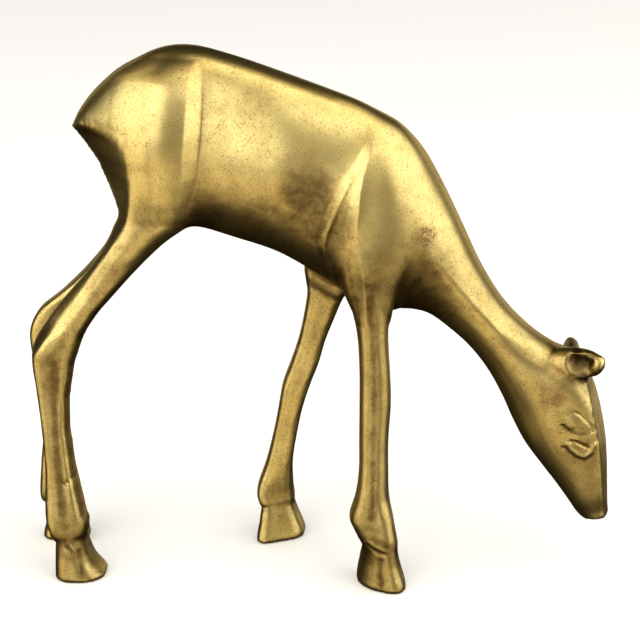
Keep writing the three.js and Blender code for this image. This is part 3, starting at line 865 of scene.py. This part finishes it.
def haunch(x, z):
    """The haunch's height: a step behind the flank, and a crown that fades towards the tail."""
    rows = columns(HAUNCH_STEP)
    foot, edge, height = (np.interp(z, rows[0], row) for row in rows[1:])
    crown = 1 - np.logaddexp(0, CROWN_BEND - CROWN_BEND * (edge - x) / HAUNCH_CROWN_AT) / CROWN_BEND
    fade = np.clip(1 - (edge - HAUNCH_CROWN_AT - x) / HAUNCH_FADE, 0, 1)
    low = rise(z, *CROWN_ABOVE)
    window = low * low * (3 - 2 * low) * rise(z, *CROWN_BELOW)
    top = height + HAUNCH_CROWN * window * ((1 - CROWN_ROUND) * crown + CROWN_ROUND * crown**2)
    return np.where(x > edge, height * rise(x, foot, edge - foot), top * fade * fade * (3 - 2 * fade))


def shoulder(x, z):
    """The height of the shoulder's fold and blade."""
    rows = columns(SHOULDER_FOLDS)
    values = [np.interp(z, rows[0], row) for row in rows[1:]]
    out = np.zeros_like(x)
    for x0, h0, x1, h1 in zip(values[::2], values[1::2], values[2::2], values[3::2]):
        share = (x - x0) / np.maximum(x1 - x0, LEAST_FOLD)
        between = (share >= 0) & (share < 1)
        out = np.where(between, h0 + (h1 - h0) * share, out)
    edge, height = values[8:]
    fade = np.clip(1 - (x - edge) / SHOULDER_FADE, 0, 1)
    out = np.where(x >= edge, height * fade * fade, out)
    return out * within(z, rows[0][0], rows[0][-1])


def dome(x, z, middle_x, middle_z, long, short, turn, height):
    """A smooth dome that fades out at its rim."""
    c, s = math.cos(math.radians(turn)), math.sin(math.radians(turn))
    along = ((x - middle_x) * c - (z - middle_z) * s) / long
    across = ((x - middle_x) * s + (z - middle_z) * c) / short
    return height * np.clip(1 - along**2 - across**2, 0, 1) ** DOME_RIM


def stroke(x, z, height, width, path):
    """A ridge or groove with a round section along a path."""
    at, away = np.stack([x, z], -1), np.full(len(x), np.inf)
    for one, other in zip(path, path[1:]):
        one, run = np.array(one), np.array(other) - np.array(one)
        share = np.clip(((at - one) @ run) / (run @ run), 0, 1)
        away = np.minimum(away, np.linalg.norm(at - one - share[:, None] * run, axis=1))
    return height * np.exp(-((away / width) ** 2))


def relief(points, normals):
    """How far each point moves out along its normal."""
    x, y, z = points.T
    aside = np.clip(np.abs(normals[:, 1]) * RELIEF_GAIN - RELIEF_LEAST, 0, 1) * (np.abs(y) > RELIEF_ASIDE)
    domes = sum(dome(x, z, *one) for one in DOMES)
    lines = sum(stroke(x, z, *line) * (both | (y < 0)) for both, *line in STROKES)
    outer = (normals[:, 1] * np.sign(y) > 0) | (z > LEGS_BELOW) | (x > HEAD_FROM)
    return aside * (haunch(x, z) + shoulder(x, z) + domes + lines * outer)


def near_eye(x, y, z):
    return within(x, *EYE_LENGTHS) & within(z, *EYE_HEIGHTS) & (np.abs(y) > EYE_ASIDE)


def near_detail(x, y, z):
    """Where the mesh is split finer."""
    rows = columns(HAUNCH_STEP)
    foot, edge = (np.interp(z, rows[0], row) for row in rows[1:3])
    step = within(z, *STEP_HEIGHTS) & within(x, edge - STEP_ROOM, foot + STEP_ROOM)
    rows = columns(SHOULDER_FOLDS)
    left, right = np.interp(z, rows[0], rows[1]), np.interp(z, rows[0], rows[9])
    folds = within(z, *FOLD_HEIGHTS) & within(x, left - FOLD_ROOM_BEHIND, right + FOLD_ROOM_BEFORE)
    ear = (x > EAR_FROM) & within(z, *EAR_HEIGHTS)
    feet = within(z, *FETLOCK_HEIGHTS)
    return ((step | folds) & (np.abs(y) > FLANK_ASIDE)) | ear | feet | near_eye(x, y, z)


def vertices(bm):
    return np.array([v.co for v in bm.verts])


def vertex_normals(bm):
    bm.normal_update()
    return np.array([v.normal for v in bm.verts])


def edge_ends(bm):
    return np.array([[v.index for v in e.verts] for e in bm.edges])


def split(bm, wanted):
    """Halves the edges in a region."""
    at, ends = vertices(bm), edge_ends(bm)
    middle = (at[ends[:, 0]] + at[ends[:, 1]]) / 2
    chosen = wanted(*middle.T)
    edges = [e for e, yes in zip(bm.edges, chosen) if yes]
    bmesh.ops.subdivide_edges(bm, edges=edges, cuts=1, use_grid_fill=True)
    bm.verts.index_update()
    bm.edges.ensure_lookup_table()


def sculpt(mesh):
    """Fills the mesh. Gives back its points in mm, their normals, and the ends of its edges."""
    points, faces = surface(whole_field())
    mesh.from_pydata(points.tolist(), [], faces)
    bm = bmesh.new()
    bm.from_mesh(mesh)
    split(bm, near_detail)
    split(bm, near_eye)
    bmesh.ops.triangulate(bm, faces=[f for f in bm.faces if len(f.verts) > 4])
    placed, normals = vertices(bm), vertex_normals(bm)
    placed = placed + normals * relief(placed, normals)[:, None]
    placed = (placed + [FRAME_SHIFT, 0, 0]) / METRE
    for vertex, point in zip(bm.verts, placed):
        vertex.co = point
    shape, normals, ends = vertices(bm) * METRE, vertex_normals(bm), edge_ends(bm)
    bm.to_mesh(mesh)
    bm.free()
    mesh.polygons.foreach_set("use_smooth", np.ones(len(mesh.polygons), bool))
    return shape, normals, ends


def hollows(shape, normals, ends):
    """How deep each point lies below the surface smoothed over its neighbours, in mm."""
    count = np.bincount(ends.ravel(), minlength=len(shape))[:, None]
    smooth = shape
    for _ in range(HOLLOW_ROUNDS):
        total = np.zeros_like(smooth)
        for k in range(3):
            total[:, k] = np.bincount(ends[:, 0], smooth[ends[:, 1], k], len(shape))
            total[:, k] += np.bincount(ends[:, 1], smooth[ends[:, 0], k], len(shape))
        smooth = 0.5 * smooth + 0.5 * total / count
    return ((smooth - shape) * normals).sum(1)


def marks(shape, rows):
    """Round marks with soft rims, on the right side."""
    total = np.zeros(len(shape))
    for x, z, radius, strength in rows:
        away = np.hypot(shape[:, 0] - x, shape[:, 2] - z) / radius
        total = np.maximum(total, strength * np.clip(MARK_CORE - away * MARK_RIM, 0, 1))
    return total * (shape[:, 1] < 0)


def leg_film(x, y, z):
    """How matte and brown the legs and the face are: the bevels along the hind legs' rear edges are rubbed
    bright.
    """
    rows = columns(RIGHT_REAR)
    ahead = x - np.interp(z, rows[0], rows[3])
    bevel = np.clip(RUBBED_WIDTH - np.abs(ahead - RUBBED_AHEAD), 0, 1) * rise(z, *RUBBED_ABOVE)
    head = np.clip((HEAD_FROM - x) / FILM_FADE, HEAD_FILM, 1)
    far = np.where(y > FAR_FROM, FAR_FILM, 1)
    return rise(z, *FILM_BELOW) * head * (1 - bevel) * far


def belly_shade(x, z, normals):
    """How much painted shade the surfaces that face down are given, behind the neck."""
    facing = np.clip((-normals[:, 2] - BELLY_FACING) / BELLY_SLOPE, 0, BELLY_MOST)
    return facing * rise(x, *BELLY_BEHIND) * rise(z, *BELLY_ABOVE)


def store(mesh, name, values):
    layer = mesh.attributes.new(name, "FLOAT", "POINT")
    layer.data.foreach_set("value", np.float32(values))


def weather(mesh, shape, normals, ends):
    """Stores where the brass is hollow, worn, stained and matte, and where shade is painted: under the near
    ear, on the belly, the flank and the far ear.
    """
    x, y, z = shape.T
    depth = hollows(shape, normals, ends)
    on_trunk = np.where((x < TRUNK_BEFORE) & (z > TRUNK_OVER), TRUNK_RECESS, 1)
    store(mesh, "recess", np.clip(depth / RECESS_DEPTH - RECESS_LEAST, 0, RECESS_MOST) * on_trunk)
    store(mesh, "worn", np.clip(-depth / WORN_HEIGHT, 0, 1))
    store(mesh, "stain", marks(shape, STAINS))
    # painted shade under the near ear and along its rim
    store(mesh, "ear_shade", marks(shape, EAR_SHADE))
    # painted shade on the far ear and the head beside it
    far_ear_shade = FAR_EAR_SHADE * ((x > FAR_EAR[0]) & (y > FAR_EAR[1]) & (z > FAR_EAR[2]))
    # the matte layer also holds painted shade on the belly, the far ear and the flank
    films = [leg_film(x, y, z), belly_shade(x, z, normals), far_ear_shade, marks(shape, FLANK_SHADE)]
    store(mesh, "dull_and_shade", np.maximum.reduce(films))


def node(tree, kind, inputs=(), **settings):
    """A shader node. An input is given a value, or a socket to link."""
    made = tree.nodes.new(kind)
    for name, value in settings.items():
        setattr(made, name, value)
    for name, value in dict(inputs).items():
        if isinstance(value, bpy.types.NodeSocket):
            tree.links.new(value, made.inputs[name])
        else:
            made.inputs[name].default_value = value
    return made


def noise(tree, place, size, detail=2.0, roughness=0.5, distortion=0.0):
    """Noise with features of a size in mm."""
    inputs = {"Vector": place, "Scale": METRE / size, "Detail": detail}
    inputs |= {"Roughness": roughness, "Distortion": distortion}
    return node(tree, "ShaderNodeTexNoise", inputs).outputs["Fac"]


def ramp(tree, value, low, high, to_low=0.0, to_high=1.0):
    inputs = {"Value": value, "From Min": low, "From Max": high, "To Min": to_low, "To Max": to_high}
    return node(tree, "ShaderNodeMapRange", inputs).outputs["Result"]


def mix(tree, share, one, other):
    inputs = {0: share, 6: one, 7: other}
    return node(tree, "ShaderNodeMix", inputs, data_type="RGBA").outputs[2]


def calc(tree, operation, one, other, clamp=False):
    return node(tree, "ShaderNodeMath", {0: one, 1: other}, operation=operation, use_clamp=clamp).outputs[0]


def times(tree, one, other, clamp=False):
    return calc(tree, "MULTIPLY", one, other, clamp)


def plus(tree, one, other, clamp=False):
    return calc(tree, "ADD", one, other, clamp)


def attribute(tree, name):
    return node(tree, "ShaderNodeAttribute", attribute_name=name).outputs["Fac"]


def dots(tree, place, spacing, radius, share):
    """Round dots of about a radius in mm, in a share of the cells of a spacing in mm."""
    cells = node(tree, "ShaderNodeTexVoronoi", {"Vector": place, "Scale": METRE / spacing})
    cell = node(tree, "ShaderNodeSeparateColor", {"Color": cells.outputs["Color"]}).outputs[0]
    size = times(tree, ramp(tree, cell, 1 - share, 1.0), radius / spacing)
    inside = calc(tree, "SUBTRACT", size, cells.outputs["Distance"])
    return ramp(tree, inside, 0.0, DOT_RIM)


def brown_film_and_shade(tree, clouds, patches, worn):
    """How much of the metal lies under brown coating: in clouds, in the matte places and in the recesses;
    the matte places include painted shade on the belly, the flank and the far ear.
    """
    film_and_shade = times(tree, ramp(tree, clouds, *CLOUDED), ramp(tree, patches, *PATCHED, *FILM_SHARES))
    dull_and_shade = times(tree, attribute(tree, "dull_and_shade"), ramp(tree, patches, *PATCHED, *DULL_SHARES))
    film_and_shade = plus(tree, plus(tree, film_and_shade, dull_and_shade), attribute(tree, "recess"), True)
    return times(tree, film_and_shade, ramp(tree, worn, 0.0, 1.0, 1.0, WORN_FILM))


def thick_specks(tree, place, patches):
    """Dark specks where the patches are thick, and pits."""
    specks = ramp(tree, noise(tree, place, SPECK_SIZE, 2.0, 0.6), *SPECKED)
    specks = times(tree, specks, ramp(tree, patches, *SPECK_PATCHED, *SPECK_SHARES))
    return calc(tree, "MAXIMUM", specks, dots(tree, place, PIT_SPACING, PIT_RADIUS, PIT_SHARE))


def colours(tree, grain, patches, worn, film_and_shade, blotch, specks):
    """Clean brass in two tones under brown coats, stains, dark brown painted shade under the near ear, and
    specks; the brown coats also paint shade on the belly, the flank and the far ear.
    """
    # the darkest brown also paints shade on the belly, the flank and the far ear
    tarnish_and_shade = times(tree, attribute(tree, "dull_and_shade"), ramp(tree, patches, *TARNISH_PATCHED, *TARNISH_SHARES))
    tarnish_and_shade = times(tree, tarnish_and_shade, ramp(tree, worn, 0.0, 1.0, 1.0, WORN_TARNISH))
    colour = mix(tree, ramp(tree, grain, *GRAIN_TONES), LIGHT_BRASS, DEEP_BRASS)
    # the brown film also paints shade on the belly, the flank and the far ear
    colour = mix(tree, film_and_shade, colour, FILM_AND_SHADE_BROWN)
    colour = mix(tree, tarnish_and_shade, colour, TARNISH_AND_SHADE_BROWN)
    colour = mix(tree, blotch, colour, STAIN_BROWN)
    # painted shade under the near ear and along its rim, in dark brown
    colour = mix(tree, attribute(tree, "ear_shade"), colour, EAR_SHADE_BROWN)
    return mix(tree, specks, colour, SPECK_BROWN)


def brass():
    """Satin cast brass with brown coats that also paint shade, stains, specks and pits."""
    made = bpy.data.materials.new("cast_brass")
    made.use_nodes = True
    tree = made.node_tree
    shader = tree.nodes["Principled BSDF"]
    place = node(tree, "ShaderNodeTexCoord").outputs["Object"]
    clouds = noise(tree, place, CLOUD_SIZE, 3.0, 0.6)
    patches = noise(tree, place, PATCH_SIZE, 3.0, 0.65, 0.4)
    grain = noise(tree, place, GRAIN_SIZE, 2.0, 0.7)
    sand = noise(tree, place, SAND_SIZE, 1.0)
    blotches = noise(tree, place, BLOTCH_SIZE, 3.0, 0.7, 1.2)
    worn = attribute(tree, "worn")
    film_and_shade = brown_film_and_shade(tree, clouds, patches, worn)
    blotch = times(tree, attribute(tree, "stain"), ramp(tree, blotches, *BLOTCHED, *STAIN_SHARES), True)
    specks = thick_specks(tree, place, patches)
    colour = colours(tree, grain, patches, worn, film_and_shade, blotch, specks)
    tree.links.new(colour, shader.inputs["Base Color"])
    rough = ramp(tree, grain, *GRAIN_GLOSS, LEAST_ROUGH, MOST_ROUGH)
    for cover, more in ((film_and_shade, FILM_ROUGH), (specks, SPECK_ROUGH), (blotch, STAIN_ROUGH)):
        rough = plus(tree, rough, times(tree, cover, more))
    tree.links.new(rough, shader.inputs["Roughness"])
    shader.inputs["Metallic"].default_value = 1.0
    height = plus(tree, times(tree, sand, SAND_HEIGHT), grain)
    height = calc(tree, "SUBTRACT", height, times(tree, specks, SPECK_DEPTH))
    settings = {"Strength": BUMP_STRENGTH, "Distance": BUMP_HEIGHT / METRE, "Height": height}
    bump = node(tree, "ShaderNodeBump", settings)
    tree.links.new(bump.outputs["Normal"], shader.inputs["Normal"])
    return made


def cast_deer():
    """The one piece, which stands for the CAD's solid."""
    mesh = bpy.data.meshes.new("deer_casting")
    weather(mesh, *sculpt(mesh))
    mesh.materials.append(brass())
    made = bpy.data.objects.new("deer_casting", mesh)
    bpy.context.scene.collection.objects.link(made)
    return made


casting = cast_deer()
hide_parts("deer")
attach(casting, "root")

# The stage, in metres and degrees, from here on
FLOOR_SIZE = 6
FLOOR_GREY = (0.86, 0.86, 0.86, 1)
FLOOR_ROUGH = 0.9
ROOM_GREY = (0.8, 0.8, 0.8, 1)
MIDDLE = Vector((FRAME_SHIFT / METRE, 0, 0.070))
LAMPS_AIM = Vector((0, 0, 0.07))

# The camera, as far round and as high as in the photograph
CAMERA_TURN = 2
CAMERA_RISE = 20
CAMERA_DISTANCE = 0.450
CAMERA_LENS = 97.05  # on a sensor 36 mm wide
CAMERA_SHIFT = -0.0031

# Soft lamps: name, azimuth, elevation, distance, width, height, radiance, tint
PALE = (1.0, 0.98, 0.90)
WARM = (1.0, 0.85, 0.58)
LAMPS = [
    ("left_softbox", -52, 23, 1.0, 0.98, 1.15, 1.35, PALE),
    ("front_softbox", -10, 22, 1.0, 0.56, 1.2, 1.35, PALE),
    ("front_dim", 20, 22, 1.0, 0.5, 1.15, 0.1, WARM),
    ("right_softbox", 68, 23, 1.0, 1.4, 1.4, 1.3, PALE),
    ("left_low_fill", -57, -20, 1.0, 0.83, 0.54, 0.85, WARM),
    ("front_low_fill", -9, -30, 1.0, 0.6, 0.5, 0.85, WARM),
    ("front_low_dim", 21, -30, 1.0, 0.46, 0.5, 0.4, WARM),
    ("right_low_fill", 56, -23, 1.0, 0.9, 0.46, 0.5, WARM),
    ("top_fill", 10, 72, 1.0, 1.6, 0.6, 0.4, WARM),
    ("top_strip", 48, 70, 1.0, 0.34, 0.2, 1.6, PALE),
    ("top_right_fill", 98, 65, 1.0, 0.5, 0.3, 0.7, WARM),
    ("top_left_fill", -105, 50, 1.0, 0.6, 0.5, 0.45, WARM),
    ("rear_right_fill", 150, 0, 1.3, 1.2, 1.0, 0.42, WARM),
    ("rear_left_fill", -155, 0, 1.3, 1.1, 1.0, 0.24, WARM),
]
WATTS = 4.0  # for each square metre of a lamp and each unit of radiance


def floor():
    """Pale paper under the figure."""
    bpy.ops.mesh.primitive_plane_add(size=FLOOR_SIZE)
    made = bpy.context.object
    made.name = "floor"
    paper = bpy.data.materials.new("floor_paper")
    paper.use_nodes = True
    shader = paper.node_tree.nodes["Principled BSDF"]
    shader.inputs["Base Color"].default_value = FLOOR_GREY
    shader.inputs["Roughness"].default_value = FLOOR_ROUGH
    made.data.materials.append(paper)
    made.visible_glossy = False
    made.visible_shadow = False
    return made


def aimed(name, data, azimuth, elevation, target, distance):
    """A lamp or camera that faces a point. Azimuth 0 is in front of the right side, 90 before the nose."""
    made = bpy.data.objects.new(name, data)
    a, e = math.radians(azimuth), math.radians(elevation)
    back = Vector((math.sin(a) * math.cos(e), -math.cos(a) * math.cos(e), math.sin(e)))
    made.location = target + back * distance
    made.rotation_mode = "QUATERNION"
    made.rotation_quaternion = back.to_track_quat("Z", "Y")
    bpy.context.scene.collection.objects.link(made)
    return made


def softbox(name, azimuth, elevation, distance, width, height, radiance, tint):
    """A soft rectangular lamp."""
    data = bpy.data.lights.new(name, "AREA")
    data.shape = "RECTANGLE"
    data.size, data.size_y = width, height
    data.energy = radiance * WATTS * width * height
    data.color = tint
    aimed(name, data, azimuth, elevation, LAMPS_AIM, distance).visible_camera = False


def room():
    """Plain grey all round, which the brass doesn't mirror."""
    made = bpy.data.worlds.new("studio")
    made.use_nodes = True
    made.node_tree.nodes["Background"].inputs["Color"].default_value = ROOM_GREY
    made.cycles_visibility.glossy = False
    return made


def camera():
    data = bpy.data.cameras.new("camera")
    data.lens = CAMERA_LENS
    data.shift_y = CAMERA_SHIFT
    return aimed("camera", data, CAMERA_TURN, CAMERA_RISE, MIDDLE, CAMERA_DISTANCE)


floor()
for lamp in LAMPS:
    softbox(*lamp)
bpy.context.scene.world = room()
bpy.context.scene.view_settings.view_transform = "Standard"
bpy.context.scene.camera = camera()
